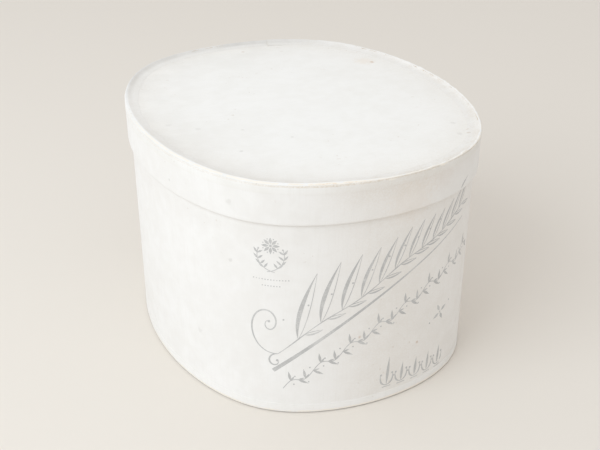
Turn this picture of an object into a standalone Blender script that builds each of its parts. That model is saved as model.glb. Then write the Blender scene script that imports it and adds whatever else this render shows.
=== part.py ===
"""Oval cardboard hat box with a lift-off lid, covered and lined with paper.

Frame: metres, +Z up, origin on the floor under the middle of the box. The oval's long axis lies
along Y, its front end is at -Y, and the seams of its strips are at the back end, +Y. Every piece
follows one oval, so a place across the walls is an inset: the distance inwards from the outer
face of the box's side wall, which makes the insets of the overhanging lid negative.
"""

import math

import bmesh
import bpy

# Driving dimensions.
LID_LENGTH = 0.340
LID_WIDTH = 0.288
TOTAL_HEIGHT = 0.2088
LID_DEPTH = 0.0325
SHOULDER = 0.0042
PAPER = 0.0003
GLUE_GAP = 0.0003
WALL_BOARD = 0.0018
SKIRT_BOARD = 0.0015
PANEL_BOARD = 0.0018
BASE_BOARD = 0.0020
LID_PLAY = 0.0006
PANEL_RECESS = 0.0023
BINDING_ON_SIDE = 0.0068
BINDING_ON_PANEL = 0.0095
BASE_BINDING_UP = 0.0085
BASE_BINDING_UNDER = 0.0120
BASE_PAPER_INSET = 0.0060
TURN_IN = 0.0100
CORNER_STRIP_LEG = 0.0095
LAP_END = 0.0002
OVAL_STEPS = 72

# Insets of the layers' faces, from the skirt's outer paper to the wall's lining.
LAYER = PAPER + GLUE_GAP
SKIRT_LINING_IN = -LID_PLAY
SKIRT_BOARD_IN = SKIRT_LINING_IN - LAYER
SKIRT_BOARD_OUT = SKIRT_BOARD_IN - SKIRT_BOARD
SKIRT_PAPER_OUT = SKIRT_BOARD_OUT - LAYER
WALL_BOARD_OUT = LAYER
WALL_BOARD_IN = WALL_BOARD_OUT + WALL_BOARD
WALL_LINING_IN = WALL_BOARD_IN + LAYER

# Levels of the layers' faces.
BOARDS_BOTTOM = 2 * LAYER
BASE_TOP = BOARDS_BOTTOM + BASE_BOARD
BASE_LINING_TOP = BASE_TOP + LAYER
SKIRT_BOTTOM = TOTAL_HEIGHT - LID_DEPTH
SKIRT_BOARD_BOTTOM = SKIRT_BOTTOM + LAYER
SKIRT_BOARD_TOP = TOTAL_HEIGHT - LAYER
PANEL_PAPER_TOP = TOTAL_HEIGHT - PANEL_RECESS
PANEL_TOP = PANEL_PAPER_TOP - LAYER
PANEL_BOTTOM = PANEL_TOP - PANEL_BOARD
LID_UNDERSIDE = PANEL_BOTTOM - LAYER
WALL_TOP = LID_UNDERSIDE - GLUE_GAP
WALL_BOARD_TOP = WALL_TOP - LAYER

# The oval of the wall's outer face.
HALF_LENGTH = LID_LENGTH / 2 + SKIRT_PAPER_OUT
HALF_WIDTH = LID_WIDTH / 2 + SKIRT_PAPER_OUT
MEAN_REACH = (HALF_LENGTH + HALF_WIDTH) / 2 + SHOULDER
REACH_SWING = (HALF_LENGTH - HALF_WIDTH) / 2
STEP = 2 * math.pi / OVAL_STEPS
SEAM_TURN = math.pi

COVER_PAPER = ("cover_paper", (0.80, 0.79, 0.76), 0.80)
TOP_PAPER = ("top_paper", (0.82, 0.81, 0.78), 0.70)
BINDING_PAPER = ("binding_paper", (0.72, 0.67, 0.58), 0.75)
LINING_PAPER = ("lining_paper", (0.78, 0.76, 0.70), 0.85)
STRAWBOARD = ("strawboard", (0.42, 0.32, 0.18), 0.90)


def clear_scene():
    """Start from an empty file."""
    for old in list(bpy.data.objects):
        bpy.data.objects.remove(old, do_unlink=True)
    for old in list(bpy.data.collections):
        bpy.data.collections.remove(old)


def make_collection(name):
    """A collection in the scene for the box's pieces."""
    collection = bpy.data.collections.new(name)
    bpy.context.scene.collection.children.link(collection)
    return collection


def make_material(name, colour, roughness):
    """A plain Principled material."""
    material = bpy.data.materials.new(name)
    material.use_nodes = True
    shader = material.node_tree.nodes["Principled BSDF"]
    shader.inputs["Base Color"].default_value = (*colour, 1.0)
    shader.inputs["Roughness"].default_value = roughness
    shader.inputs["Metallic"].default_value = 0.0
    return material


def oval_point(turn, inset):
    """The oval's point whose outward normal is at this turn from the front end."""
    reach = MEAN_REACH - inset + REACH_SWING * math.cos(2 * turn) - SHOULDER * math.cos(4 * turn)
    slope = 4 * SHOULDER * math.sin(4 * turn) - 2 * REACH_SWING * math.sin(2 * turn)
    forward = reach * math.cos(turn) - slope * math.sin(turn)
    across = reach * math.sin(turn) + slope * math.cos(turn)
    return across, -forward


def oval_loop(inset):
    """The whole oval as a list of points."""
    return [oval_point(step * STEP, inset) for step in range(OVAL_STEPS)]


class Builder:
    """Adds named pieces with their own materials to one collection."""

    def __init__(self, collection):
        self.collection = collection

    def add(self, name, data, finish, parent):
        """Link an object that holds this mesh or curve."""
        data.materials.append(make_material(name + "_" + finish[0], finish[1], finish[2]))
        piece = bpy.data.objects.new(name, data)
        piece.parent = parent
        self.collection.objects.link(piece)
        return piece

    def flat_piece(self, name, outline, bottom, thickness, finish, parent):
        """A flat outline cut from board or paper, or a strip on edge seen from above."""
        curve = bpy.data.curves.new(name, "CURVE")
        curve.dimensions = "2D"
        curve.fill_mode = "BOTH"
        curve.extrude = thickness / 2
        spline = curve.splines.new("POLY")
        spline.points.add(len(outline) - 1)
        for point, (x, y) in zip(spline.points, outline):
            point.co = (x, y, 0.0, 1.0)
        spline.use_cyclic_u = True
        piece = self.add(name, curve, finish, parent)
        piece.location.z = bottom + thickness / 2
        return piece

    @staticmethod
    def place_ring(ring, step_of, corner):
        """Move a ring's points on to the oval at this (inset, height)."""
        inset, height = corner
        for vert in ring:
            x, y = oval_point(vert[step_of] * STEP, inset)
            vert.co = (x, y, height)

    def folded_strip(self, name, path, finish, parent):
        """A paper strip around the oval; path lists the (inset, height) of its middle layer."""
        mesh = bpy.data.meshes.new(name)
        build = bmesh.new()
        step_of = build.verts.layers.int.new("step")
        ring = [build.verts.new() for _ in range(OVAL_STEPS)]
        edges = [build.edges.new((ring[step - 1], ring[step])) for step in range(OVAL_STEPS)]
        for step, vert in enumerate(ring):
            vert[step_of] = step
        self.place_ring(ring, step_of, path[0])
        for corner in path[1:]:
            grown = bmesh.ops.extrude_edge_only(build, edges=edges)["geom"]
            ring = [item for item in grown if isinstance(item, bmesh.types.BMVert)]
            edges = [item for item in grown if isinstance(item, bmesh.types.BMEdge)
                     and item.verts[0] in ring and item.verts[1] in ring]
            self.place_ring(ring, step_of, corner)
        bmesh.ops.recalc_face_normals(build, faces=build.faces)
        build.to_mesh(mesh)
        build.free()
        mesh.shade_smooth()
        mesh.set_sharp_from_angle(angle=math.radians(40))
        piece = self.add(name, mesh, finish, parent)
        solid = piece.modifiers.new("paper thickness", "SOLIDIFY")
        solid.thickness = PAPER
        solid.offset = 0.0
        solid.use_even_offset = True
        return piece

    def lapped_strip(self, name, outer, inner, bottom, top, finish, parent):
        """A board strip bent round the oval, its two thinned ends lapped at the seam."""
        slant = (inner - outer) - 2 * LAP_END - GLUE_GAP
        outside = []
        inside = []
        for step in range(OVAL_STEPS + 3):
            turn = SEAM_TURN + (step - 1) * STEP
            start_lap = step / 2
            end_lap = (step - OVAL_STEPS) / 2
            outer_inset = outer
            inner_inset = inner
            if start_lap <= 1:
                outer_inset = inner - LAP_END - slant * start_lap
            if end_lap >= 0:
                inner_inset = inner - LAP_END - slant * end_lap - GLUE_GAP
            outside.append(oval_point(turn, outer_inset))
            inside.append(oval_point(turn, inner_inset))
        outline = outside + inside[::-1]
        return self.flat_piece(name, outline, bottom, top - bottom, finish, parent)


def build_box(builder, root):
    """The lower part: a side wall lapped round a base, with its papers."""
    half_paper = PAPER / 2
    wall_face = half_paper
    wall_lining = WALL_LINING_IN - half_paper
    base_lining = BASE_LINING_TOP - half_paper
    builder.lapped_strip("wall_board", WALL_BOARD_OUT, WALL_BOARD_IN, BOARDS_BOTTOM, WALL_BOARD_TOP,
                         STRAWBOARD, root)
    builder.flat_piece("base_board", oval_loop(WALL_BOARD_IN + GLUE_GAP), BOARDS_BOTTOM, BASE_BOARD,
                       STRAWBOARD, root)
    builder.flat_piece("base_cover_paper", oval_loop(BASE_PAPER_INSET), 0.0, PAPER,
                       COVER_PAPER, root)
    builder.folded_strip("base_edge_binding",
                         [(BASE_BINDING_UNDER, LAYER + half_paper),
                          (wall_face, LAYER + half_paper),
                          (wall_face, BASE_BINDING_UP)],
                         BINDING_PAPER, root)
    builder.folded_strip("wall_cover_paper",
                         [(wall_face, BASE_BINDING_UP + GLUE_GAP),
                          (wall_face, WALL_TOP - half_paper),
                          (wall_lining, WALL_TOP - half_paper),
                          (wall_lining, WALL_TOP - TURN_IN)],
                         COVER_PAPER, root)
    builder.folded_strip("wall_lining_paper",
                         [(wall_lining, BASE_LINING_TOP + CORNER_STRIP_LEG + GLUE_GAP),
                          (wall_lining, WALL_TOP - TURN_IN - GLUE_GAP)],
                         LINING_PAPER, root)
    builder.folded_strip("base_corner_strip",
                         [(WALL_LINING_IN + CORNER_STRIP_LEG, base_lining),
                          (wall_lining, base_lining),
                          (wall_lining, BASE_LINING_TOP + CORNER_STRIP_LEG)],
                         LINING_PAPER, root)
    builder.flat_piece("base_lining_paper",
                       oval_loop(WALL_LINING_IN + CORNER_STRIP_LEG + GLUE_GAP),
                       BASE_TOP + GLUE_GAP, PAPER, LINING_PAPER, root)


def build_lid(builder, lid):
    """The lid: a panel set a little below the top edge of its lapped skirt, with its papers."""
    half_paper = PAPER / 2
    skirt_face = SKIRT_PAPER_OUT + half_paper
    skirt_lining = SKIRT_LINING_IN - half_paper
    panel_face = PANEL_PAPER_TOP - half_paper
    panel_lining = LID_UNDERSIDE + half_paper
    binding_foot = TOTAL_HEIGHT - BINDING_ON_SIDE
    binding_edge = SKIRT_LINING_IN + BINDING_ON_PANEL
    turned_edge = SKIRT_BOTTOM + half_paper
    builder.lapped_strip("lid_skirt_board", SKIRT_BOARD_OUT, SKIRT_BOARD_IN,
                         SKIRT_BOARD_BOTTOM, SKIRT_BOARD_TOP, STRAWBOARD, lid)
    builder.flat_piece("lid_panel_board", oval_loop(SKIRT_BOARD_IN + GLUE_GAP), PANEL_BOTTOM,
                       PANEL_BOARD, STRAWBOARD, lid)
    builder.folded_strip("lid_rim_binding",
                         [(skirt_face, binding_foot),
                          (skirt_face, TOTAL_HEIGHT - half_paper),
                          (skirt_lining, TOTAL_HEIGHT - half_paper),
                          (skirt_lining, panel_face),
                          (binding_edge, panel_face)],
                         BINDING_PAPER, lid)
    builder.flat_piece("lid_top_paper", oval_loop(binding_edge + GLUE_GAP),
                       PANEL_PAPER_TOP - PAPER, PAPER, TOP_PAPER, lid)
    builder.folded_strip("lid_skirt_paper",
                         [(skirt_face, binding_foot - GLUE_GAP),
                          (skirt_face, turned_edge),
                          (skirt_lining, turned_edge),
                          (skirt_lining, SKIRT_BOTTOM + TURN_IN)],
                         COVER_PAPER, lid)
    builder.folded_strip("lid_skirt_lining",
                         [(skirt_lining, SKIRT_BOTTOM + TURN_IN + GLUE_GAP),
                          (skirt_lining, LID_UNDERSIDE - CORNER_STRIP_LEG - GLUE_GAP)],
                         LINING_PAPER, lid)
    builder.folded_strip("lid_corner_strip",
                         [(skirt_lining, LID_UNDERSIDE - CORNER_STRIP_LEG),
                          (skirt_lining, panel_lining),
                          (SKIRT_LINING_IN + CORNER_STRIP_LEG, panel_lining)],
                         LINING_PAPER, lid)
    builder.flat_piece("lid_panel_lining",
                       oval_loop(SKIRT_LINING_IN + CORNER_STRIP_LEG + GLUE_GAP),
                       LID_UNDERSIDE, PAPER, LINING_PAPER, lid)


def main():
    """Build the hat box with its lid on."""
    clear_scene()
    collection = make_collection("hat_box")
    box = bpy.data.objects.new("box", None)
    lid = bpy.data.objects.new("lid", None)
    lid.parent = box
    collection.objects.link(box)
    collection.objects.link(lid)
    builder = Builder(collection)
    build_box(builder, box)
    build_lid(builder, lid)


main()
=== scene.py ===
import math

import bmesh
import bpy
import numpy as np
from mathutils import Matrix, Vector, noise


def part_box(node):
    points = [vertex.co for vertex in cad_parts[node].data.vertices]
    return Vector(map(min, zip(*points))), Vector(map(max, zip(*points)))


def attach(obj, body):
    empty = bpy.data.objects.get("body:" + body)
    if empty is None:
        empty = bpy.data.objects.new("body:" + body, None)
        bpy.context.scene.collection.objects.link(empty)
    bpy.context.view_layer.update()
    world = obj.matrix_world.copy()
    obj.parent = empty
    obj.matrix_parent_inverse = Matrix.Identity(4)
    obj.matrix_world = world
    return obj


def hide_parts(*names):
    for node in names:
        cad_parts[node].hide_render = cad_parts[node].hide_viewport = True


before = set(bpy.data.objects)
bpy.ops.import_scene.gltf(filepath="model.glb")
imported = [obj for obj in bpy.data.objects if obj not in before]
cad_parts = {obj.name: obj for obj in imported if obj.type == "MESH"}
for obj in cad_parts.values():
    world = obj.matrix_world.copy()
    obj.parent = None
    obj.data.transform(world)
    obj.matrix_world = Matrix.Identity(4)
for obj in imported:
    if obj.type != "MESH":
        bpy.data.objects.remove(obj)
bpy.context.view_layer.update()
scene = bpy.context.scene

# An old oval cardboard hat box. Its papers are fine meshes laid out from the CAD model's sizes, its
# boards are the CAD model's own pieces, and its printing is a generic leaf ornament in thin ink.

# ==== Sizes in metres. A place on the box is (arc, out, height): arc runs round the wall from the
# front end, out is the distance outwards from the wall's outer face, height is above the floor.

SHOULDER = 0.0042  # how far the oval's four shoulders swell
PAPER = 0.0003  # thickness of a paper
STRIP_PAPER = 0.0002  # thickness of a narrow strip over a corner
LAP = 0.012  # how far one end of a strip lies over the other
LAP_LIFT = 0.00026  # how much that end stands up

HALF_WIDTH, HALF_LENGTH, WALL_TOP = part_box("wall_cover_paper")[1]
MEAN_REACH = (HALF_LENGTH + HALF_WIDTH) / 2 + SHOULDER
REACH_SWING = (HALF_LENGTH - HALF_WIDTH) / 2
PERIMETER = 2 * math.pi * MEAN_REACH
BACK = PERIMETER / 2


def out_of(node):
    """How far a node's outer face stands out from the wall's outer face."""
    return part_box(node)[1][1] - HALF_LENGTH


SKIRT_FACE = out_of("lid_skirt_paper")
SKIRT_INSIDE = out_of("lid_skirt_lining") - PAPER
WALL_INSIDE = out_of("wall_lining_paper") - PAPER
SKIRT_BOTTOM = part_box("lid_skirt_paper")[0][2]
RIM_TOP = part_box("lid_rim_binding")[1][2]
RIM_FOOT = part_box("lid_rim_binding")[0][2]
PANEL_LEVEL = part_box("lid_top_paper")[1][2]
LID_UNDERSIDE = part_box("lid_panel_lining")[0][2]
BINDING_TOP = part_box("base_edge_binding")[1][2]
BINDING_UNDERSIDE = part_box("base_edge_binding")[0][2]
BASE_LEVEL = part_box("base_lining_paper")[1][2]

# Directions that the wall faces, from straight ahead, and the arc at which it faces each
TURNS = np.linspace(-math.pi, math.pi, 4001)
ARCS = (MEAN_REACH * TURNS - 1.5 * REACH_SWING * np.sin(2 * TURNS)
        + 3.75 * SHOULDER * np.sin(4 * TURNS))


def on_oval(arc, out):
    """X and Y of places round the oval; arrays of any matching shapes."""
    wrapped = (arc + BACK) % PERIMETER - BACK
    turn = np.interp(wrapped, ARCS, TURNS)
    reach = (MEAN_REACH + out + REACH_SWING * np.cos(2 * turn) - SHOULDER * np.cos(4 * turn))
    slope = 4 * SHOULDER * np.sin(4 * turn) - 2 * REACH_SWING * np.sin(2 * turn)
    forward = reach * np.cos(turn) - slope * np.sin(turn)
    across = reach * np.sin(turn) + slope * np.cos(turn)
    return across, -forward


# ==== Small helpers

def field(points, size, seed, octaves=2):
    """Smooth noise from about -1 to 1 at each point; size is the distance between its bumps."""
    shift = Vector((7.3 * seed, 3.1 * seed, 5.7 * seed))
    flat = points.reshape(-1, 3) / size
    values = [noise.fractal(Vector(point) + shift, 1.0, 2.0, octaves) for point in flat]
    return np.array(values).reshape(points.shape[:-1])


def smooth(value):
    """0 below 0, 1 above 1, and a smooth rise between."""
    clipped = np.clip(value, 0.0, 1.0)
    return clipped * clipped * (3 - 2 * clipped)


def hill(distance, width):
    """1 at no distance, falling smoothly to 0 on either side."""
    return np.exp(-(distance / width) ** 2)


def fade(distance, reach):
    """1 at no distance, falling away with it."""
    return np.exp(-distance / reach)


def front_share(points):
    """1 over the front of the box, falling to 0 at its back."""
    return smooth(0.75 - points[..., 1] / (1.2 * HALF_LENGTH))


def middle_share(points):
    """1 in the middle of the front, falling to 0 on either side."""
    return hill(points[..., 0] + 0.010, 0.040)


def lid_right_share(points):
    """0 at the lid's left, 1 right of its middle, and less again at its right end."""
    right = smooth((points[..., 0] + 0.075) / 0.08)
    return right * (1 - 0.6 * smooth((points[..., 0] - 0.040) / 0.025))


def line(start, end, step):
    """Points from start to end, in (out, height), about a step apart."""
    start, end = np.array(start), np.array(end)
    count = max(1, round(float(np.linalg.norm(end - start)) / step))
    return start + (end - start) * np.linspace(0, 1, count + 1)[:, None]


def bend(centre, radius, start, end, steps=5):
    """Points along a quarter circle or less, angles in degrees from outwards towards up."""
    angles = np.radians(np.linspace(start, end, steps + 1))
    return np.array(centre) + radius * np.stack([np.cos(angles), np.sin(angles)], axis=1)


def joined(*parts):
    """One path from several, without doubled points."""
    path = np.concatenate(parts)
    steps = np.linalg.norm(np.diff(path, axis=0), axis=1)
    return path[np.concatenate([[True], steps > 1e-7])]


def new_piece(name, body, vertices, faces, material, values=None):
    """A smooth-shaded mesh that rides on a body; values are numbers kept at its vertices."""
    mesh = bpy.data.meshes.new(name)
    mesh.from_pydata(vertices, [], faces)
    for label, numbers in (values or {}).items():
        store = mesh.attributes.new(label, "FLOAT", "POINT")
        store.data.foreach_set("value", np.asarray(numbers, dtype=np.float32).ravel())
    mesh.materials.append(material)
    mesh.shade_smooth()
    piece = bpy.data.objects.new(name, mesh)
    scene.collection.objects.link(piece)
    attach(piece, body)
    return piece


def add_thickness(piece, thickness):
    """Make a skin a closed sheet with crisp edges, growing away from the side that shows."""
    shape = bmesh.new()
    shape.from_mesh(piece.data)
    for edge in shape.edges:
        edge.smooth = not edge.is_boundary
    shape.to_mesh(piece.data)
    shape.free()
    solid = piece.modifiers.new("paper thickness", "SOLIDIFY")
    solid.thickness = thickness
    solid.offset = -1.0
    solid.use_rim = True


def grid_faces(columns, rows, closed=False):
    """Faces of a grid whose vertices are numbered column by column."""
    faces = []
    for column in range(columns if closed else columns - 1):
        here = column * rows
        there = (column + 1) % columns * rows
        for row in range(rows - 1):
            faces.append((here + row, there + row, there + row + 1, here + row + 1))
    return faces


def path_frame(path):
    """Run length, direction and outward normal at each point of a path in (out, height)."""
    steps = np.linalg.norm(np.diff(path, axis=0), axis=1)
    run = np.concatenate([[0.0], np.cumsum(steps)])
    ahead = np.gradient(path, run, axis=0)
    ahead /= np.linalg.norm(ahead, axis=1)[:, None]
    normal = np.stack([ahead[:, 1], -ahead[:, 0]], axis=1)
    return run, ahead, normal


EDGE_REACH = 0.0009  # how far in a strip's long edges are toned and pressed down
END_TONE, END_REACH = 0.22, 0.0010  # tone along its upper end, and how far it reaches
CURL, CURL_REACH = 0.00022, 0.004  # how much its upper end curls up, and from how far in
WANDER_SIZE, WANDER_REACH = 0.018, 0.004  # size of its edges' waves, and how far in they carry
RUB_DEPTH = 0.00018  # depth of a place rubbed bare


def strip(name, body, node, path, material, columns=700, seam=0.0, thickness=PAPER,
          relief=None, wear=None, stain=None, painted_shade=None, uneven=(0.0, 0.0),
          edge_tone=(0.15, 0.15), feather=0.0):
    """A strip of paper round the oval, one end lapped over the other at the back.

    path is its section from one long edge to the other, in (out, height), with the side that
    relief, wear, stain and painted_shade take (points, run) and give the height of bumps, how much
    the paper is rubbed bare and browned, and how much it is greyed by painted shade; the wall's
    stain also holds a painted shadow line. uneven is how far each long edge wanders, feather how
    much the last one is pressed down.
    """
    run, ahead, normal = path_frame(path)
    arcs = np.linspace(-BACK, BACK + LAP, columns) + seam
    rows = len(path)
    arc = np.repeat(arcs[:, None], rows, axis=1)
    out = np.repeat(path[None, :, 0], columns, axis=0)
    height = np.repeat(path[None, :, 1], columns, axis=0)
    x, y = on_oval(arc, out)
    points = np.stack([x, y, height], axis=2)
    from_last_edge = run[-1] - run
    for amount, edge, away, direction, seed in ((uneven[0], 0, run, -1, 11),
                                                (uneven[1], -1, from_last_edge, 1, 12)):
        if amount:
            wander = amount * field(points[:, edge], WANDER_SIZE, seed, 3)[:, None]
            wander = wander * fade(away, WANDER_REACH)[None, :] * direction
            out = out + wander * ahead[None, :, 0]
            height = height + wander * ahead[None, :, 1]
    to_end = BACK + LAP + seam - arc
    curled = CURL * fade(to_end, CURL_REACH) * smooth(0.4 + field(points, 0.020, 13))
    rise = LAP_LIFT * smooth(2 - to_end / LAP) + curled
    if relief is not None:
        rise = rise + relief(points, run[None, :])
    rubbed = np.zeros_like(out)
    if wear is not None:
        rubbed = np.clip(wear(points, run[None, :]), 0.0, 1.0)
        rise = rise - RUB_DEPTH * smooth((rubbed - 0.35) * 3)
    rise = rise - feather * fade(from_last_edge, EDGE_REACH)[None, :]
    out = out + rise * normal[None, :, 0]
    height = height + rise * normal[None, :, 1]
    x, y = on_oval(arc, out)
    tone = edge_tone[0] * fade(run, EDGE_REACH) + edge_tone[1] * fade(from_last_edge, EDGE_REACH)
    tone = tone[None, :] + END_TONE * fade(to_end, END_REACH)
    if stain is not None:
        tone = tone + stain(points, run[None, :])
    values = {"wear": rubbed, "tone": tone}
    if painted_shade is not None:
        values["painted_shade"] = np.clip(painted_shade(points, run[None, :]), 0.0, 1.0)
    vertices = np.stack([x, y, height], axis=2).reshape(-1, 3)
    piece = new_piece(name, body, vertices, grid_faces(columns, rows), material, values)
    add_thickness(piece, thickness)
    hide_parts(node)


DISC_COLUMNS = 360
CROWDING = 1.15  # how much a disc's rows crowd together towards its edge


def disc(name, body, node, edge_out, level, material, facing=1, rows=60, stain=None,
         painted_shade=None):
    """An oval sheet; level takes (points, distance in from the edge) and gives heights.

    stain and painted_shade take the same and give how much the paper is browned and how much it is
    greyed by painted shade.
    """
    arcs = np.arange(DISC_COLUMNS) / DISC_COLUMNS * PERIMETER - BACK
    edge_x, edge_y = on_oval(arcs, edge_out)
    share = 1 - np.linspace(0, 1, rows + 1)[:-1] ** CROWDING
    x = edge_x[:, None] * share[None, :]
    y = edge_y[:, None] * share[None, :]
    distance = (1 - share)[None, :] * np.hypot(edge_x, edge_y)[:, None]
    flat = np.stack([x, y, np.zeros_like(x)], axis=2)
    height = level(flat, distance)
    vertices = np.stack([x, y, height], axis=2).reshape(-1, 3).tolist()
    middle = len(vertices)
    vertices.append((0.0, 0.0, float(height[:, -1].mean())))
    faces = grid_faces(DISC_COLUMNS, rows, closed=True)
    for column in range(DISC_COLUMNS):
        following = (column + 1) % DISC_COLUMNS
        faces.append((column * rows + rows - 1, following * rows + rows - 1, middle))
    if facing < 0:
        faces = [face[::-1] for face in faces]
    values = {}
    for label, amount in (("tone", stain), ("painted_shade", painted_shade)):
        if amount is not None:
            values[label] = np.append(amount(flat, distance).ravel(), 0.0)
    piece = new_piece(name, body, vertices, faces, material, values)
    add_thickness(piece, PAPER)
    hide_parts(node)


def level_at(height):
    """The level of a disc that is flat."""
    return lambda flat, distance: height + 0.0 * distance


# ==== Materials

class Finish:
    """A node material built up step by step."""

    def __init__(self, name, roughness, specular=0.3):
        self.material = bpy.data.materials.new(name)
        self.material.use_nodes = True
        self.nodes = self.material.node_tree.nodes
        self.links = self.material.node_tree.links
        self.shader = self.nodes["Principled BSDF"]
        self.feed(self.shader.inputs["Roughness"], roughness)
        self.feed(self.shader.inputs["Specular IOR Level"], specular)
        self.place = self.node("ShaderNodeTexCoord").outputs["Object"]

    def node(self, kind, **settings):
        made = self.nodes.new(kind)
        for label, value in settings.items():
            setattr(made, label, value)
        return made

    def feed(self, socket, value):
        """Set a socket to a number or a colour, or link another socket to it."""
        if isinstance(value, (int, float)):
            socket.default_value = value
        elif isinstance(value, tuple):
            socket.default_value = (*value, 1.0)
        else:
            self.links.new(value, socket)

    def noise(self, scale, detail=3.0, roughness=0.55):
        """Noise from 0 to 1; scale is one number per metre, or one for each axis."""
        place = self.place
        if isinstance(scale, tuple):
            mapping = self.node("ShaderNodeMapping")
            mapping.inputs["Scale"].default_value = scale
            self.links.new(place, mapping.inputs["Vector"])
            place, scale = mapping.outputs["Vector"], 1.0
        texture = self.node("ShaderNodeTexNoise")
        self.feed(texture.inputs["Vector"], place)
        self.feed(texture.inputs["Scale"], scale)
        self.feed(texture.inputs["Detail"], detail)
        self.feed(texture.inputs["Roughness"], roughness)
        return texture.outputs["Fac"]

    def stored(self, label):
        """A number kept at the vertices."""
        attribute = self.node("ShaderNodeAttribute", attribute_type="GEOMETRY",
                              attribute_name=label)
        return attribute.outputs["Fac"]

    def math(self, operation, first, second):
        """One sum on two sockets or numbers."""
        step = self.node("ShaderNodeMath", operation=operation)
        self.feed(step.inputs[0], first)
        self.feed(step.inputs[1], second)
        return step.outputs["Value"]

    def ramp(self, value, low, high, to_low=0.0, to_high=1.0):
        """The value carried smoothly from one range to another."""
        step = self.node("ShaderNodeMapRange", interpolation_type="SMOOTHSTEP")
        self.feed(step.inputs["From Min"], low)
        self.feed(step.inputs["From Max"], high)
        self.feed(step.inputs["To Min"], to_low)
        self.feed(step.inputs["To Max"], to_high)
        self.feed(step.inputs["Value"], value)
        return step.outputs["Result"]

    def blend(self, share, first, second):
        """Mix two colours, each a socket or a colour."""
        mix = self.node("ShaderNodeMix", data_type="RGBA")
        self.feed(mix.inputs["Factor"], share)
        self.feed(mix.inputs[6], first)
        self.feed(mix.inputs[7], second)
        return mix.outputs[2]

    def distance(self, place):
        """How far a point is from a place, in metres."""
        step = self.node("ShaderNodeVectorMath", operation="DISTANCE")
        self.links.new(self.place, step.inputs[0])
        step.inputs[1].default_value = place
        return step.outputs["Value"]

    def colour(self, value):
        self.feed(self.shader.inputs["Base Color"], value)

    def roughness(self, value):
        self.feed(self.shader.inputs["Roughness"], value)

    def bump(self, height, distance, strength):
        """Relief in the shading; distance is the height of the relief in metres."""
        step = self.node("ShaderNodeBump")
        self.feed(step.inputs["Strength"], strength)
        self.feed(step.inputs["Distance"], distance)
        self.feed(step.inputs["Height"], height)
        self.feed(self.shader.inputs["Normal"], step.outputs["Normal"])


CREAM_RUB = (0.85, 0.80, 0.72)
BUFF_RUB = (0.76, 0.59, 0.43)
AGED_EDGE = (0.60, 0.50, 0.38)
FOX_SPOT = (0.42, 0.30, 0.20)
BROWN = (0.50, 0.33, 0.22)
GREY = (0.50, 0.48, 0.45)
INK_DARK = (0.485, 0.482, 0.475)
INK_THIN = (0.63, 0.625, 0.61)
BOARD_DARK = (0.36, 0.25, 0.13)
BOARD_LIGHT = (0.58, 0.43, 0.25)
BOARD_FLECK = (0.16, 0.10, 0.05)

# Noise scales, per metre; a grain has one for each axis
WALL_GRAIN = (620.0, 620.0, 45.0)
PANEL_GRAIN = (75.0, 640.0, 640.0)
STRAW_GRAIN = (900.0, 900.0, 260.0)
CLOUDS, BLOTCHES = 14.0, 85.0
SPOTS, SPOTTED_AREAS = 260.0, 21.0
STAIN_OUTLINES, FRAYING = 330.0, 700.0
INK_PATCHES, INK_SPECKS = 60.0, 1100.0
STRAW_FLECKS = 1500.0

# Heights of the relief in the shading, in metres
PAPER_RELIEF, INK_RELIEF, STRAW_RELIEF = 0.00005, 0.00004, 0.00015


def paper_finish(name, light, dark, grain, marks=()):
    """Old paper: slow changes of tone, fibres along the grain, spots, worn and toned edges, and
    grey painted shade where a piece asks for it.

    marks are (place, radius, colour, strength): single stains at places of their own.
    """
    paper = Finish(name, roughness=0.7)
    clouds = paper.noise(CLOUDS, detail=4.0)
    blotches = paper.noise(BLOTCHES)
    fibres = paper.noise(grain, detail=2.0, roughness=0.6)
    cloudy = paper.math("ADD", paper.math("MULTIPLY", clouds, 0.55),
                        paper.math("MULTIPLY", blotches, 0.45))
    tint = paper.blend(paper.ramp(cloudy, 0.38, 0.66), light, dark)
    streaked = paper.blend(paper.ramp(fibres, 0.46, 0.80, 0.0, 0.55), tint, dark)
    fine_spots = paper.ramp(paper.noise(SPOTS, detail=1.0), 0.70, 0.76)
    spotted_area = paper.ramp(paper.noise(SPOTTED_AREAS, detail=2.0), 0.54, 0.68, 0.0, 0.30)
    coloured = paper.blend(paper.math("MULTIPLY", fine_spots, spotted_area), streaked, FOX_SPOT)
    ragged = paper.noise(FRAYING, roughness=0.7)
    outline = paper.noise(STAIN_OUTLINES, roughness=0.65)
    for place, radius, colour, strength in marks:
        near = paper.math("SUBTRACT", paper.distance(place),
                          paper.math("MULTIPLY", outline, 1.9 * radius))
        stain = paper.ramp(near, -0.6 * radius, 0.35 * radius, strength, 0.0)
        coloured = paper.blend(stain, coloured, colour)
    broken = paper.ramp(ragged, 0.30, 0.65, 0.4, 1.0)
    edge_share = paper.math("MULTIPLY", paper.stored("tone"), broken)
    toned = paper.blend(edge_share, coloured, AGED_EDGE)
    # Grey painted shade where a piece keeps it, as on the rim's back and by the top's left and back
    # edges
    with_painted_shade = paper.blend(paper.stored("painted_shade"), toned, GREY)
    worn = paper.math("ADD", paper.stored("wear"), paper.math("MULTIPLY", ragged, 0.5))
    creamy = paper.blend(paper.ramp(worn, 0.45, 0.62), with_painted_shade, CREAM_RUB)
    paper.colour(paper.blend(paper.ramp(worn, 0.78, 0.98), creamy, BUFF_RUB))
    paper.roughness(paper.ramp(fibres, 0.3, 0.7, 0.62, 0.80))
    texture = paper.math("ADD", fibres, paper.math("MULTIPLY", ragged, 0.6))
    paper.bump(texture, PAPER_RELIEF, strength=0.5)
    return paper.material


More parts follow.
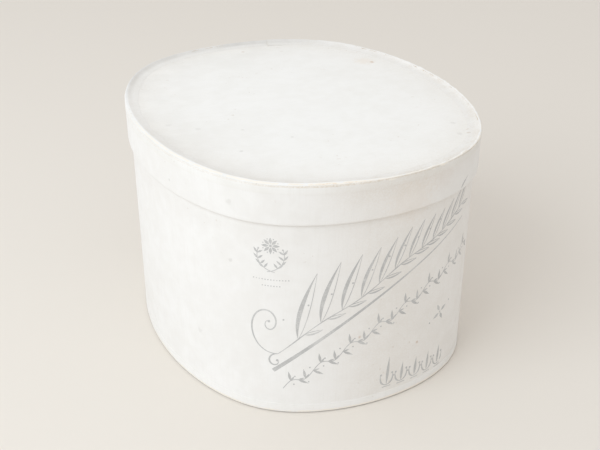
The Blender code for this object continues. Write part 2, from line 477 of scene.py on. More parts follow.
def ink_finish():
    """Faded printing ink: dark grey, thin in patches and speckled where the paper shows."""
    ink = Finish("printing_ink", roughness=0.62)
    patches = ink.noise(INK_PATCHES)
    specks = ink.noise(INK_SPECKS, detail=2.0, roughness=0.65)
    thin = ink.math("ADD", ink.math("MULTIPLY", patches, 0.5), ink.math("MULTIPLY", specks, 0.5))
    ink.colour(ink.blend(ink.ramp(thin, 0.44, 0.66), INK_DARK, INK_THIN))
    ink.roughness(ink.ramp(specks, 0.3, 0.7, 0.55, 0.75))
    ink.bump(specks, INK_RELIEF, strength=0.4)
    return ink.material


def board_finish():
    """Strawboard: buff, speckled with straw and dark flecks, coarse."""
    board = Finish("strawboard", roughness=0.9, specular=0.2)
    straw = board.noise(STRAW_GRAIN, roughness=0.65)
    flecks = board.noise(STRAW_FLECKS, detail=2.0)
    base = board.blend(board.ramp(straw, 0.30, 0.70), BOARD_DARK, BOARD_LIGHT)
    board.colour(board.blend(board.ramp(flecks, 0.66, 0.74, 0.0, 0.8), base, BOARD_FLECK))
    board.roughness(board.ramp(straw, 0.3, 0.7, 0.8, 0.95))
    board.bump(straw, STRAW_RELIEF, strength=0.7)
    return board.material


def on_wall(arc, out, height):
    """A place on the wall or the skirt as X, Y and Z."""
    x, y = on_oval(arc, out)
    return float(x), float(y), height


# (arc, out, height, radius, colour, strength) of single stains on the wall and skirt
WALL_MARKS = (
    (0.038, 0.0, 0.047, 0.0016, BROWN, 0.55),
    (-0.018, 0.0, 0.070, 0.0014, BROWN, 0.45),
    (-0.123, 0.0, 0.137, 0.0018, GREY, 0.30),
    (-0.160, 0.0, 0.056, 0.0026, GREY, 0.20),
    (-0.120, SKIRT_FACE, 0.190, 0.0026, GREY, 0.22),
    (-0.185, SKIRT_FACE, 0.186, 0.0013, GREY, 0.40),
    (0.050, SKIRT_FACE, 0.198, 0.0130, BROWN, 0.09),
    (0.020, SKIRT_FACE, 0.186, 0.0220, BUFF_RUB, 0.12),
    (0.210, 0.0, 0.110, 0.0030, BROWN, 0.30),
    (0.330, 0.0, 0.150, 0.0026, BROWN, 0.35),
    (-0.300, 0.0, 0.075, 0.0034, GREY, 0.30),
    (-0.400, 0.0, 0.050, 0.0260, BUFF_RUB, 0.16),
    (0.430, 0.0, 0.140, 0.0200, GREY, 0.10),
    (0.300, SKIRT_FACE, 0.185, 0.0150, BUFF_RUB, 0.16),
    (-0.440, 0.0, 0.118, 0.0022, BROWN, 0.40),
    (0.395, 0.0, 0.040, 0.0017, BROWN, 0.45),
    (-0.340, SKIRT_FACE, 0.192, 0.0020, BROWN, 0.35))

# (x, y, radius, colour, strength) of those on the lid's top
TOP_MARKS = (
    (0.1096, 0.0677, 0.0022, BROWN, 0.60),
    (0.104, 0.073, 0.0100, BUFF_RUB, 0.20),
    (0.006, 0.146, 0.0018, BROWN, 0.30),
    (0.100, -0.094, 0.0026, GREY, 0.26),
    (0.093, -0.116, 0.0024, GREY, 0.26),
    (-0.118, -0.006, 0.0030, GREY, 0.20),
    (-0.098, -0.023, 0.0026, GREY, 0.20),
    (-0.065, -0.039, 0.0014, GREY, 0.30),
    (-0.081, -0.078, 0.0016, GREY, 0.35),
    (-0.034, -0.068, 0.0014, GREY, 0.28))

COVER = paper_finish("cover_paper", (0.838, 0.826, 0.808), (0.800, 0.783, 0.758), WALL_GRAIN,
                     marks=[(on_wall(*mark[:3]), *mark[3:]) for mark in WALL_MARKS])
TOP = paper_finish("top_paper", (0.852, 0.836, 0.806), (0.820, 0.801, 0.764), PANEL_GRAIN,
                   marks=[((*mark[:2], PANEL_LEVEL), *mark[2:]) for mark in TOP_MARKS])
BINDING = paper_finish("binding_paper", (0.838, 0.826, 0.806), (0.795, 0.780, 0.750),
                       WALL_GRAIN)
LINING = paper_finish("lining_paper", (0.80, 0.775, 0.72), (0.74, 0.705, 0.64), WALL_GRAIN)
BOARD = board_finish()
INK = ink_finish()

# ==== Box

CORNER = 0.0012  # radius of the fold over the wall's top
FOOT_CORNER = 0.0007  # radius of the box's bottom corner
WALL_FOOT = 0.0030  # where the wall's paper starts, under the binding
WALL_TURN_IN = 0.010  # how far it is turned in over the top
FINE_BELOW_LID, FINE_ABOVE_LID = 0.007, 0.003  # its mesh is finer by the lid's lower edge
FINE_BELOW_TOP = 0.006  # and by its top fold
SWELLING = 0.0008  # of the wall at the left, below the lid
BINDING_PROUD = 0.0003  # how far the binding stands out from the wall
BINDING_REACH = 0.0115  # how far it reaches in under the base
BINDING_COVERS = 0.012  # height up to which the wall's paper lies flat under it
STRIP_REACH = 0.0095  # of the corner strips inside, from the corner
LINING_SHORT = 0.006  # how far a flat lining stops short of the corner
LINING_DROP = 0.0002  # how far a lining lies behind a corner strip's face
LINING_END = 0.0085  # how far it stops short of the open edge of the wall or skirt
LINING_FOOT = 0.011  # height of the wall lining's lower edge
BASE_STRIP_TOP = 0.0133  # height to which the base's corner strip reaches
BASE_STRIP_CORNER, LID_STRIP_CORNER = 0.0020, 0.0015  # radii of the corner strips' bends


def wall_relief(points, run):
    """Slow waves of the board, a slight cockle of the paper and, at the left, a swelling where
    the lid's skirt ends."""
    height = points[..., 2]
    below_lid = smooth((SKIRT_BOTTOM - 0.004 - height) / 0.03)
    waves = 0.00035 * field(points, 0.11, 1) + 0.00010 * field(points, 0.025, 2)
    left = smooth(0.35 - points[..., 0] / (0.9 * HALF_WIDTH))
    swelling_out = SWELLING * left * hill(height - SKIRT_BOTTOM + 0.003, 0.008)
    return (waves * below_lid + swelling_out) * (height > BINDING_COVERS)


def wall_stain_and_shadow_line(points, run):
    """A brown cast, faint over the front's middle and right and in patches at the back, and a
    dark line of dirt along the lid's edge that is also painted shadow under the skirt."""
    front = front_share(points)
    right = smooth((points[..., 0] + 0.06) / 0.10)
    below_lid = SKIRT_BOTTOM - points[..., 2]
    # Painted shadow under the skirt's edge, also a line of dirt there; kept off the front left
    dust_and_shadow_line = hill(below_lid - 0.0005, 0.0016) * smooth(0.7 + field(points, 0.020, 41, 3))
    open_paper = smooth(0.5 + below_lid / 0.003)
    front_cast = (0.14 * right + 0.10 * middle_share(points)) * open_paper
    back_cast = 0.06 * open_paper * smooth(0.5 + field(points, 0.060, 42, 3))
    with_painted_shade = 1 - front * (1 - right)
    return front_cast * front + back_cast * (1 - front) + 0.16 * dust_and_shadow_line * with_painted_shade


def wall_wear(points, run):
    """Rubbing along the wall's top fold, where the lid slides over it."""
    past_fold = run - (WALL_TOP - WALL_FOOT - CORNER)
    patchy = smooth(0.45 + 1.5 * field(points, 0.016, 43, 4))
    return hill(past_fold - 0.4 * CORNER, 0.0011) * (0.16 + 0.62 * patchy)


def foot_wear(points, run):
    """Rubbing along the bottom corner, heavier in places."""
    patchy = smooth(0.5 + 1.2 * field(points, 0.035, 5, 3))
    return hill(points[..., 2] - 0.0019, 0.0011) * (0.24 + 0.22 * patchy)


def build_box():
    """The wall and base with their papers, and the binding round the foot."""
    by_lid, past_lid = SKIRT_BOTTOM - FINE_BELOW_LID, SKIRT_BOTTOM + FINE_ABOVE_LID
    by_fold, fold = WALL_TOP - FINE_BELOW_TOP, WALL_TOP - CORNER
    wall = joined(line((0.0, WALL_FOOT), (0.0, by_lid), step=0.004),
                  line((0.0, by_lid), (0.0, past_lid), step=0.0009),
                  line((0.0, past_lid), (0.0, by_fold), step=0.004),
                  line((0.0, by_fold), (0.0, fold), step=0.0008),
                  bend((-CORNER, fold), CORNER, 0, 90),
                  bend((WALL_INSIDE + CORNER, fold), CORNER, 90, 180),
                  line((WALL_INSIDE, fold), (WALL_INSIDE, WALL_TOP - WALL_TURN_IN), step=0.001))
    strip("wall_paper", "box", "wall_cover_paper", wall, COVER,
          columns=580, relief=wall_relief, wear=wall_wear, stain=wall_stain_and_shadow_line,
          uneven=(0.0, 0.0006), edge_tone=(0.1, 0.3))
    foot_in = BINDING_PROUD - FOOT_CORNER
    foot_up = BINDING_UNDERSIDE + FOOT_CORNER
    under = line((-BINDING_REACH, BINDING_UNDERSIDE), (foot_in, BINDING_UNDERSIDE), step=0.002)
    binding = joined(under, bend((foot_in, foot_up), FOOT_CORNER, -90, 0),
                     line((BINDING_PROUD, foot_up), (BINDING_PROUD, BINDING_TOP), step=0.0006))
    strip("base_binding", "box", "base_edge_binding", binding, BINDING,
          columns=1300, seam=0.06, thickness=STRIP_PAPER, wear=foot_wear,
          uneven=(0.0005, 0.0005), edge_tone=(0.20, 0.03), feather=0.00010)
    disc("base_paper", "box", "base_cover_paper", out_of("base_cover_paper"),
         level_at(0.0), COVER, facing=-1, rows=20)
    lining_face = WALL_INSIDE + LINING_DROP
    lining = line((lining_face, WALL_TOP - LINING_END), (lining_face, LINING_FOOT), step=0.006)
    strip("wall_lining", "box", "wall_lining_paper", lining, LINING, columns=360)
    turn_in = WALL_INSIDE - BASE_STRIP_CORNER
    turn_up = BASE_LEVEL + BASE_STRIP_CORNER
    inner_end = (WALL_INSIDE - STRIP_REACH, BASE_LEVEL)
    corner = joined(line((WALL_INSIDE, BASE_STRIP_TOP), (WALL_INSIDE, turn_up), step=0.0012),
                    bend((turn_in, turn_up), BASE_STRIP_CORNER, 0, -90),
                    line((turn_in, BASE_LEVEL), inner_end, step=0.0012))
    strip("base_inner_strip", "box", "base_corner_strip", corner, LINING,
          thickness=STRIP_PAPER, uneven=(0.0006, 0.0006), edge_tone=(0.25, 0.25))
    disc("base_lining", "box", "base_lining_paper", WALL_INSIDE - LINING_SHORT,
         level_at(BASE_LEVEL - LINING_DROP), LINING, rows=20)


# ==== Lid

CREST = 0.0008  # radius of the rim's outer fold
CREST_FLAT = 0.0002  # width of the flat before the rim slopes down to the panel
SLOPE_REACH = 0.0030  # reach of that slope
PANEL_RECESS = RIM_TOP - PANEL_LEVEL
SIDE_RUN = RIM_TOP - CREST - RIM_FOOT
FOLD_RUN = SIDE_RUN + CREST * math.pi / 2
RIDGE_IN = 0.0024  # how far in from the fold the rolled rim is highest
RIDGE_RISE = 0.0010  # how far it rises there above the plain rim
RIDGE_OUTER, RIDGE_INNER = 0.0015, 0.0100  # reach of its slopes, outwards and inwards
RIM_FINE = 0.0045  # the rim strip's mesh is finer this near to the top
TOP_PAPER_IN = 0.006  # how far in from the fold the lid's top paper ends
COCKLE = 0.00022  # rise and fall of the top paper
HEM = 0.0011  # radius of the skirt paper's turn at its lower edge
HEM_TURN_IN = 0.010  # how far it is turned in
UNDER_STRIP = 0.003  # how far it reaches up under the rim's strip
LID_SEAM = 0.03  # arc by which the seams of the lid's skirt papers are off the back


def panel_drop(inward):
    """How far the lid's top lies below its rim, at a distance in from the rim's fold."""
    past = np.maximum(inward - CREST_FLAT, 0.0) / SLOPE_REACH
    return PANEL_RECESS * (1 - np.exp(-past ** 1.3))


def rolled(points):
    """Share by which the rim is rolled inwards: fully at the left and the front left."""
    return smooth((0.030 - points[..., 0]) / 0.075) * front_share(points)


def roll(points, inward):
    """Extra height of the rolled rim: a ridge, then a long slope down to the lid's top."""
    before = np.minimum(inward - RIDGE_IN, 0.0) / RIDGE_OUTER
    past = np.maximum(inward - RIDGE_IN, 0.0) / RIDGE_INNER
    slope = (RIDGE_RISE + PANEL_RECESS) * np.exp(-past ** 1.3) - PANEL_RECESS
    height = np.where(inward < RIDGE_IN, RIDGE_RISE * np.exp(-before ** 2), slope)
    return rolled(points) * (height + panel_drop(inward))


def rim_wear(points, run):
    """Paper rubbed pale along the rim's ridge, and torn to the buff layer in patches below it."""
    front = front_share(points)
    right = smooth(0.60 + points[..., 0] / (0.9 * HALF_WIDTH))
    middle = hill(points[..., 0] + 0.040, 0.055)
    share = rolled(points)
    ridge = FOLD_RUN - 0.0002 + (0.0016 + 0.0006 * field(points, 0.006, 28, 3)) * share
    width = 0.0006 + 0.0003 * share
    patchy = smooth(1.00 + 1.3 * field(points, 0.008, 24, 4))
    rubbed = 0.06 + front * patchy * (0.34 + 0.24 * middle)
    depth = 0.0004 + 0.0005 * field(points, 0.007, 26, 3)
    below = hill(run - SIDE_RUN + depth, 0.0007)
    torn = smooth(1.6 * field(points, 0.013, 21, 4) - 0.10 + 0.30 * right)
    heavy = front * (0.40 + 0.60 * right) + 0.55 * (1 - front)
    return hill(run - ridge, width) * rubbed + below * (0.08 * front + 0.60 * torn * heavy)


def rim_stain(points, run):
    """The strip is toned where it lies on the lid's top, along its fold and at the right end."""
    front = front_share(points)
    middle = smooth((points[..., 0] + 0.115) / 0.07)
    share = rolled(points)
    inward = run - FOLD_RUN
    patches = smooth(0.5 + 1.2 * field(points, 0.010, 25, 4))
    right_end = smooth((points[..., 0] - 0.03) / 0.06)
    edge = 0.20 + (0.05 * right_end + 0.12 * front * middle * (1 - right_end)) * patches
    near = smooth((inward - 0.0002 - RIDGE_IN * share) / 0.0012)
    inner = 1 - smooth((inward - 0.004) / 0.005)
    on_top = near * (edge + inner * (0.10 * patches * front + 0.08 * front * middle))
    ridge_foot = FOLD_RUN - 0.0004 + (0.0008 + 0.0004 * middle) * share
    fold = smooth((run - SIDE_RUN + 0.0007) / 0.0007) * smooth((ridge_foot - run) / 0.0006)
    face = smooth((SIDE_RUN - run) / 0.0006) * lid_right_share(points)
    return on_top + front * (fold * (0.32 + 0.40 * middle) + 0.25 * face)


def rim_painted_shade(points, run):
    """Painted shade: grey darkening along the back, on the rim and the first of the slope down to
    the lid's top.
    """
    back = smooth((points[..., 1] - 0.045) / 0.065)
    heavy = 0.40 + 0.20 * smooth((points[..., 0] + 0.03) / 0.05)
    heavy = heavy * (1 - 0.75 * smooth((points[..., 0] - 0.03) / 0.08))
    inward = run - FOLD_RUN
    near = smooth((inward + CREST) / 0.0008) * (1 - 0.75 * smooth((inward - 0.0030) / 0.004))
    return heavy * back * near * (0.9 + 0.3 * field(points, 0.012, 27, 3))


def rim_relief(points, run):
    """The roll, small dents, a slow unevenness and, at the front right, lumps on the crest."""
    dents = 0.00024 * field(points, 0.007, 22, 3) + 0.00022 * field(points, 0.05, 23)
    dented = dents * hill(RIM_TOP - points[..., 2], 0.0014)
    front_right = front_share(points) * smooth(0.5 + points[..., 0] / 0.05)
    lumps = 0.0008 * front_right * smooth(2.4 * field(points, 0.009, 29, 3) - 0.15)
    inward = run - FOLD_RUN
    return dented + lumps * hill(inward - 0.0006, 0.0012) + roll(points, inward)


def top_stain(points, distance):
    """The lid's top paper is browned towards its edge."""
    return 0.23 * fade(distance, 0.026)


def top_painted_shade(points, distance):
    """And greyed in soft patches along its left and back edges: painted shade inside the rim."""
    left = smooth(0.55 - points[..., 0] / HALF_WIDTH + 0.5 * points[..., 1] / HALF_LENGTH)
    patches = smooth(0.6 + 0.9 * field(points, 0.030, 33, 3))
    return 0.16 * left * patches * fade(distance, 0.028)


def top_level(points, distance):
    """The top paper follows the strip's slope and the roll, and cockles away from its edge."""
    cockle = COCKLE * (1 + field(points, 0.09, 31)) + 0.00005 * field(points, 0.02, 32)
    far = smooth((distance - 0.004) / 0.02)
    inward = distance + TOP_PAPER_IN
    under_strip = panel_drop(inward) - roll(points, inward)
    return RIM_TOP - under_strip - STRIP_PAPER + cockle * far


def skirt_stain(points, run):
    """A faint brown cast over the middle and right of the front, more by the rim's strip."""
    upper = smooth((points[..., 2] - SKIRT_BOTTOM - 0.008) / 0.018)
    cast = lid_right_share(points) * (0.06 + 0.17 * upper) + 0.10 * middle_share(points)
    return front_share(points) * cast


def build_lid():
    """The panel and skirt with their papers, and the strip over the rim."""
    flat_top = SKIRT_FACE - CREST
    crest = RIM_TOP - CREST
    face = SKIRT_FACE + STRIP_PAPER
    inward = np.concatenate([np.linspace(0.0003, 0.0045, 15), np.linspace(0.0051, 0.0109, 9)])
    slope = np.stack([flat_top - inward, RIM_TOP - panel_drop(inward)], axis=1)
    rim = joined(line((face, RIM_FOOT), (face, RIM_TOP - RIM_FINE), step=0.0018),
                 line((face, RIM_TOP - RIM_FINE), (face, crest), step=0.0007),
                 bend((flat_top, crest), CREST, 0, 90, 6)[1:], slope)
    strip("rim_binding", "lid", "lid_rim_binding", rim, BINDING, columns=1340,
          seam=-0.05, thickness=STRIP_PAPER, relief=rim_relief, wear=rim_wear, stain=rim_stain,
          painted_shade=rim_painted_shade, uneven=(0.0005, 0.0009), edge_tone=(0.05, 0.02), feather=0.00015)
    disc("top_paper", "lid", "lid_top_paper", flat_top - TOP_PAPER_IN, top_level,
         TOP, stain=top_stain, painted_shade=top_painted_shade)
    hem = SKIRT_BOTTOM + HEM
    turned_in = line((SKIRT_INSIDE, SKIRT_BOTTOM + HEM_TURN_IN), (SKIRT_INSIDE, hem), step=0.0015)
    skirt = joined(turned_in, bend((SKIRT_INSIDE + HEM, hem), HEM, 180, 270),
                   bend((SKIRT_FACE - HEM, hem), HEM, -90, 0),
                   line((SKIRT_FACE, hem), (SKIRT_FACE, RIM_FOOT + UNDER_STRIP), step=0.0015))
    strip("skirt_paper", "lid", "lid_skirt_paper", skirt, COVER, columns=900,
          seam=LID_SEAM, stain=skirt_stain, uneven=(0.0006, 0.0), edge_tone=(0.05, 0.0))
    lining_face = SKIRT_INSIDE + LINING_DROP
    lining = line((lining_face, LID_UNDERSIDE - LINING_SHORT),
                  (lining_face, SKIRT_BOTTOM + LINING_END), step=0.003)
    strip("skirt_lining", "lid", "lid_skirt_lining", lining, LINING,
          columns=360, seam=LID_SEAM)
    turn_in = SKIRT_INSIDE - LID_STRIP_CORNER
    turn_down = LID_UNDERSIDE - LID_STRIP_CORNER
    on_panel = line((SKIRT_INSIDE - STRIP_REACH, LID_UNDERSIDE), (turn_in, LID_UNDERSIDE),
                    step=0.0015)
    on_skirt = line((SKIRT_INSIDE, turn_down), (SKIRT_INSIDE, LID_UNDERSIDE - STRIP_REACH),
                    step=0.0015)
    corner = joined(on_panel, bend((turn_in, turn_down), LID_STRIP_CORNER, 90, 0), on_skirt)
    strip("lid_inner_strip", "lid", "lid_corner_strip", corner, LINING,
          thickness=STRIP_PAPER, seam=LID_SEAM, uneven=(0.0006, 0.0006), edge_tone=(0.25, 0.25))
    disc("lid_lining", "lid", "lid_panel_lining", SKIRT_INSIDE - LINING_SHORT,
         level_at(LID_UNDERSIDE + LINING_DROP), LINING, facing=-1, rows=20)


# ==== Printed ornament: leaves, tendrils and dots, drawn in millimetres on the wall's paper as
# (distance round from the front end, height)

HAIRLINE = 0.28  # half width of the thinnest strokes
LEAF_POINT, BUD_POINT, DOT_SIDE = 0.12, 0.08, 0.06  # and of the ends of leaves, buds and dots
PEN_STEP = 1.2  # length of one step of a curve
STEM_STEPS = 150
INK_ABOVE, INK_BELOW = 0.00006, 0.00005  # metres that a stroke stands out and reaches in
INK_LAYER, INK_LAYERS = 0.000012, 5  # metres from one stroke up to the next, and their levels


def curve(*corners):
    """Places along a smooth curve from the first corner to the last, drawn to those between."""
    corners = np.array(corners, dtype=float)
    order = len(corners) - 1
    reach = np.linalg.norm(np.diff(corners, axis=0), axis=1).sum()
    share = np.linspace(0, 1, max(4, round(reach / PEN_STEP)) + 1)[:, None]
    places = np.zeros((len(share), 2))
    for index, corner in enumerate(corners):
        weight = math.comb(order, index) * share ** index * (1 - share) ** (order - index)
        places += weight * corner
    return places


def swelling(places, thin, thick, peak):
    """Half widths of a pen stroke that is thickest at a share of its length."""
    share = np.linspace(0, 1, len(places)) ** (math.log(0.5) / math.log(peak))
    return thin + (thick - thin) * np.sin(math.pi * share) ** 1.4


def heading(angle):
    """A step of one millimetre at an angle in degrees."""
    return np.array([math.cos(math.radians(angle)), math.sin(math.radians(angle))])


class Print:
    """Strokes of ink that lie on the wall or on the lid's skirt, gathered into one piece."""

    def __init__(self, face, relief):
        self.face = face
        self.relief = relief
        self.vertices = []
        self.faces = []
        self.count = 0

    def stroke(self, places, half_widths):
        """A closed flat ribbon of ink; strokes that cross lie at slightly different levels."""
        half_widths = np.broadcast_to(half_widths, len(places))
        ahead = np.gradient(places, axis=0)
        ahead /= np.linalg.norm(ahead, axis=1)[:, None]
        side = np.stack([-ahead[:, 1], ahead[:, 0]], axis=1) * half_widths[:, None]
        above = INK_ABOVE + INK_LAYER * (self.count % INK_LAYERS)
        first = len(self.vertices)
        edges = ((side, above), (-side, above), (-side, -INK_BELOW), (side, -INK_BELOW))
        ring = []
        for offset, lift in edges:
            arc, height = ((places + offset) / 1000).T
            x, y = on_oval(arc, self.face)
            points = np.stack([x, y, height], axis=1)
            x, y = on_oval(arc, self.face + self.relief(points, 0.0) + lift)
            ring.append(np.stack([x, y, height], axis=1))
        rings = np.stack(ring, axis=1).reshape(-1, 3)
        self.vertices.extend(rings.tolist())
        for step in range(len(places) - 1):
            for corner in range(4):
                here = first + 4 * step + corner
                across = first + 4 * step + (corner + 1) % 4
                self.faces.append((here, across, across + 4, here + 4))
        last = first + 4 * (len(places) - 1)
        self.faces.append((first + 3, first + 2, first + 1, first))
        self.faces.append((last, last + 1, last + 2, last + 3))
        self.count += 1

    def dot(self, place, radius):
        """A round dot."""
        slices = radius * np.cos(np.linspace(math.pi, 0, 9))
        places = np.array(place) + np.stack([slices, np.zeros(9)], axis=1)
        half_widths = np.sqrt(np.maximum(radius ** 2 - slices ** 2, 0))
        self.stroke(places, np.maximum(half_widths, DOT_SIDE))

    def leaf(self, base, angle, length, plump, thick):
        """A slender leaf: a swelling stroke along one edge, a hairline along the other."""
        base = np.array(base, dtype=float)
        ahead = heading(angle) * length
        across = heading(angle + 90)
        for bow, half_width in ((plump, thick), (-0.55 * plump, HAIRLINE * 1.2)):
            edge = curve(base, base + 0.28 * ahead + 1.5 * bow * across,
                         base + 0.72 * ahead + 0.7 * bow * across, base + ahead)
            self.stroke(edge, swelling(edge, LEAF_POINT, half_width, 0.42))

    def bud(self, base, angle, length, half_width):
        """A solid small leaf."""
        base = np.array(base, dtype=float)
        edge = curve(base, base + heading(angle) * length * 0.5, base + heading(angle) * length)
        self.stroke(edge, swelling(edge, BUD_POINT, half_width, 0.45))

    def curl(self, start, angle, turns, radius, side, tall=1.0):
        """A tendril that winds inwards and ends in a small dot; tall stretches it upwards."""
        count = max(12, round(turns * 2 * math.pi * radius * 0.62 / PEN_STEP))
        swing = np.linspace(0, turns * 2 * math.pi, count)
        reach = radius * np.exp(-0.26 * swing)
        begin = math.radians(angle) - side * math.pi / 2
        turning = begin + side * swing
        winding = reach[:, None] * np.stack([np.cos(turning), tall * np.sin(turning)], axis=1)
        places = np.array(start) - winding[0] + winding
        self.stroke(places, swelling(places, HAIRLINE, HAIRLINE * 2.4, 0.3))
        self.dot(places[-1], 1.1)

    def piece(self, name, body):
        """Make the strokes one piece that rides on a body."""
        made = new_piece(name, body, self.vertices, self.faces, INK)
        made.data.set_sharp_from_angle(angle=math.radians(40))


RULE_START, RULE_END = -88.0, 88.0
RULE_LENGTH = RULE_END - RULE_START
RULE_FOOT, RULE_RISE, RULE_BOW = 42.0, 105.0, 46.0


def rule_height(arc):
    """Height of the slanting rule that the ornament is arranged on."""
    share = (arc - RULE_START) / RULE_LENGTH
    return RULE_FOOT + RULE_RISE * share + RULE_BOW * share * (1 - share)


def rule_slope(arc):
    """Angle of the rule in degrees."""
    share = (arc - RULE_START) / RULE_LENGTH
    return math.degrees(math.atan((RULE_RISE + RULE_BOW * (1 - 2 * share)) / RULE_LENGTH))


def draw_rule():
    """The rule, thick at its left end."""
    rule = Print(0.0, wall_relief)
    arcs = np.linspace(RULE_START, RULE_END, STEM_STEPS)
    places = np.stack([arcs, rule_height(arcs)], axis=1)
    thin, taper = 0.30, 1.45
    rule.stroke(places, thin + taper * (1 - np.linspace(0, 1, STEM_STEPS)) ** 1.2)
    rule.piece("print_rule", "box")


def draw_spray():
    """A branch above the rule, its leaves long at the left end and short at the right."""
    spray = Print(0.0, wall_relief)
    start, end = -84.0, 88.0
    gap, narrowing, wave, wave_reach = 15.0, 3.0, 1.6, 11.0
    arcs = np.linspace(start, end, STEM_STEPS)
    branch = (rule_height(arcs) + gap - narrowing * (arcs - start) / (end - start)
              + wave * np.sin(arcs / wave_reach))
    places = np.stack([arcs, branch], axis=1)
    spray.stroke(places, HAIRLINE + 0.25 * np.sin(arcs / 9) ** 2)
    arc, last_leaf = -68.0, 84.0
    reach, shortest, shrinking = 62.0, 27.0, 0.90
    upper_lean, lower_lean, dot_lean = 38, -24, 84
    while arc < last_leaf:
        foot = np.array([arc, np.interp(arc, arcs, branch)])
        slope = rule_slope(arc)
        spray.leaf(foot, slope + upper_lean, reach, 0.085 * reach, 0.40 + 0.022 * reach)
        lower = min(0.5 * reach, 15.0)
        lower_foot = (arc + 5, float(np.interp(arc + 5, arcs, branch)))
        spray.leaf(lower_foot, slope + lower_lean, lower, -0.12 * lower, 0.7)
        spray.dot(foot + heading(slope + dot_lean) * (0.28 * reach + 4), 0.8)
        arc += 5.5 + 0.20 * reach
        reach = max(shortest, shrinking * reach)
    branch_end = (start, float(branch[0]))
    spray.curl(branch_end, 200, 1.6, 22.0, -1, tall=1.35)
    spray.curl(branch_end, 165, 0.9, 8.0, 1)
    spray.piece("print_spray", "box")


def draw_vine():
    """A thin waving stem with small leaves and dots, below the rule."""
    vine = Print(0.0, wall_relief)
    start, end = -80.0, 106.0
    gap, widening, wave, wave_length = 24.0, 11.0, 3.2, 24.0
    arcs = np.linspace(start, end, 200)
    middle = rule_height(arcs) - gap - widening * (arcs - start) / (end - start)
    stem = middle + wave * np.sin((arcs - start) * 2 * math.pi / wave_length)
    places = np.stack([arcs, stem], axis=1)
    vine.stroke(places, HAIRLINE * 1.15)
    for number, arc in enumerate(np.arange(start + 6.0, end - 2.0, 6.0)):
        foot = np.array([arc, np.interp(arc, arcs, stem)])
        slope = rule_slope(arc)
        side = 1 if number % 2 == 0 else -1
        vine.bud(foot, slope + side * 62, 9.5, 1.1)
        vine.bud(foot, slope + side * 18, 5.5, 0.8)
        vine.dot(foot - side * heading(slope + 90) * 4.2, 0.65)
    vine.piece("print_vine", "box")


def draw_fleurons():
    """A level row of five upright sprigs near the bottom, the first one taller."""
    row = Print(0.0, wall_relief)
    sprigs, tallest, tall = 5, 28.0, 19.0
    row_start, row_step = np.array([8.0, 15.0]), np.array([14.5, -0.9])
    for number in range(sprigs):
        foot = row_start + row_step * number
        row.bud(foot, 86, tallest if number == 0 else tall, 1.35)
        for side in (-1, 1):
            stem = curve(foot, foot + (side * 6.5, 1.0), foot + (side * 6.0, 10.0))
            row.stroke(stem, swelling(stem, HAIRLINE, 0.75, 0.55))
            row.dot(foot + (side * 5.4, 11.0), 1.0)
        row.stroke(curve(foot - (4.0, 1.6), foot + (4.0, -1.6)), HAIRLINE * 1.2)
        if number < sprigs - 1:
            row.dot(foot + (7.2, 7.5), 0.8)
    row.piece("print_fleurons", "box")


def draw_lozenges():
    """Four leaves round a dot, between two dots."""
    mark = Print(0.0, wall_relief)
    centre, lean = np.array([64.0, 66.0]), 25
    for quarter in range(4):
        angle = lean + 90 * quarter
        mark.bud(centre + heading(angle) * 1.6, angle, 7.5, 1.5)
    mark.dot(centre, 0.9)
    for side in (-1, 1):
        mark.dot(centre + side * heading(lean) * 14.0, 0.8)
    mark.piece("print_lozenges", "box")


def draw_rosette():
    """A small flower over two crossed sprigs, with two rows of dots below."""
    flower = Print(0.0, wall_relief)
    centre = np.array([-89.0, 157.0])
    for petal in range(8):
        flower.bud(centre + heading(45 * petal) * 1.5, 45 * petal, 5.6, 1.25)
        flower.dot(centre + heading(45 * petal + 22.5) * 6.2, 0.5)
    flower.dot(centre, 1.1)
    for side in (-1, 1):
        stem = curve(centre + (-side * 3.0, -23.0), centre + (side * 8.0, -21.0),
                     centre + (side * 13.0, -12.0), centre + (side * 9.5, -3.0))
        flower.stroke(stem, HAIRLINE)
        for share in (0.30, 0.48, 0.66, 0.84):
            foot = stem[round(share * (len(stem) - 1))]
            for tilt in (25, 115):
                angle = 90 - side * (90 - tilt - 40 * share)
                flower.bud(foot, angle, 5.2, 0.85)
        flower.dot(stem[-1], 0.7)
    gap, sag = 2.3, 0.010
    for dots, drop in ((13, 30.0), (7, 35.5)):
        for step in range(dots):
            from_middle = step - (dots - 1) / 2
            place = centre + (from_middle * gap, sag * from_middle ** 2 - drop)
            flower.dot(place, 0.5)
    flower.piece("print_rosette", "box")


def draw_leaf_tip():
    """The end of the spray's last leaf, on the lid's skirt."""
    tip = Print(SKIRT_FACE, lambda points, run: 0.0 * points[..., 2])
    edge = curve((74.0, 178.0), (77.0, 182.0), (84.0, 186.0))
    tip.stroke(edge, swelling(edge, LEAF_POINT, 0.9, 0.4))
    tip.piece("print_leaf_tip", "lid")


build_box()
build_lid()
draw_rule()
draw_spray()
draw_vine()
draw_fleurons()
draw_lozenges()
draw_rosette()
draw_leaf_tip()
for node in ("wall_board", "base_board", "lid_skirt_board", "lid_panel_board"):
    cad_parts[node].data.materials.clear()
    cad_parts[node].data.materials.append(BOARD)

# ==== Stage

CAMERA_PLACE = Vector((-0.3129, -0.7091, 0.5095))
CAMERA_YAW = math.radians(24.05)
CAMERA_PITCH = math.radians(28.75)
CAMERA_ROLL = math.radians(0.19)
LENS = 56.8
WINDOW_PLACE, WINDOW_AIM = Vector((-1.62, -0.58, 1.445)), Vector((0.0, 0.0, 0.1))
WINDOW_SIZE, WINDOW_POWER = 1.5, 22.6
WINDOW_COLOUR = (0.84, 0.925, 1.0)
SKY_COLOUR, SKY_STRENGTH = (1.0, 1.0, 1.0, 1.0), 0.855
FLOOR_COLOUR, FLOOR_ROUGHNESS = (0.75, 0.70, 0.635, 1.0), 0.8
FLOOR_HALF_SIZE, FLOOR_HEIGHT = 20.0, -0.0002


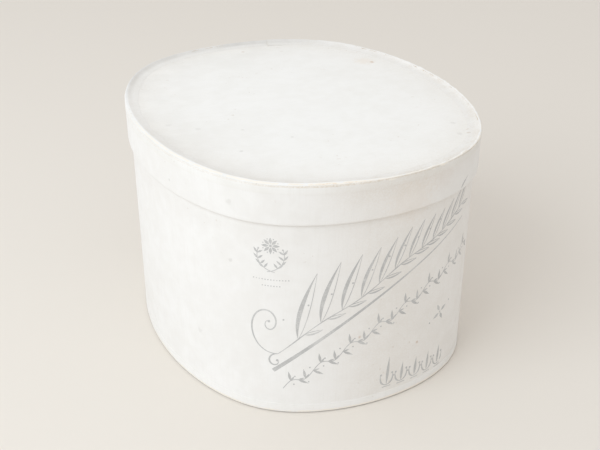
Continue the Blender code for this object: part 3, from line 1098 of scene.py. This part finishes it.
def add_camera():
    """The camera looks down on the box from the front and a little to its left."""
    ahead = Vector((math.sin(CAMERA_YAW) * math.cos(CAMERA_PITCH),
                    math.cos(CAMERA_YAW) * math.cos(CAMERA_PITCH), -math.sin(CAMERA_PITCH)))
    level = Vector((math.cos(CAMERA_YAW), -math.sin(CAMERA_YAW), 0.0))
    upright = level.cross(ahead)
    right = level * math.cos(CAMERA_ROLL) + upright * math.sin(CAMERA_ROLL)
    up = right.cross(ahead)
    data = bpy.data.cameras.new("camera")
    data.lens = LENS
    data.clip_start = 0.01
    camera = bpy.data.objects.new("camera", data)
    turned = Matrix((right, up, -ahead)).transposed().to_4x4()
    camera.matrix_world = Matrix.Translation(CAMERA_PLACE) @ turned
    scene.collection.objects.link(camera)
    scene.camera = camera


def add_window():
    """A square soft light that faces the box from its left."""
    data = bpy.data.lights.new("window", "AREA")
    data.size = WINDOW_SIZE
    data.energy = WINDOW_POWER
    data.color = WINDOW_COLOUR
    light = bpy.data.objects.new("window", data)
    light.location = WINDOW_PLACE
    light.rotation_euler = (WINDOW_AIM - WINDOW_PLACE).to_track_quat("-Z", "Y").to_euler()
    scene.collection.objects.link(light)


def add_floor():
    """A plain pale floor."""
    mesh = bpy.data.meshes.new("floor")
    shape = bmesh.new()
    bmesh.ops.create_grid(shape, x_segments=1, y_segments=1, size=FLOOR_HALF_SIZE)
    shape.to_mesh(mesh)
    shape.free()
    floor = bpy.data.objects.new("floor", mesh)
    floor.location.z = FLOOR_HEIGHT
    pale = bpy.data.materials.new("floor_pale")
    pale.use_nodes = True
    shader = pale.node_tree.nodes["Principled BSDF"]
    shader.inputs["Base Color"].default_value = FLOOR_COLOUR
    shader.inputs["Roughness"].default_value = FLOOR_ROUGHNESS
    mesh.materials.append(pale)
    scene.collection.objects.link(floor)


def add_sky():
    """Even white light from all round."""
    world = bpy.data.worlds.new("soft_studio")
    world.use_nodes = True
    sky = world.node_tree.nodes["Background"]
    sky.inputs["Color"].default_value = SKY_COLOUR
    sky.inputs["Strength"].default_value = SKY_STRENGTH
    scene.world = world


add_camera()
add_floor()
add_sky()
add_window()
scene.view_settings.view_transform = "Standard"
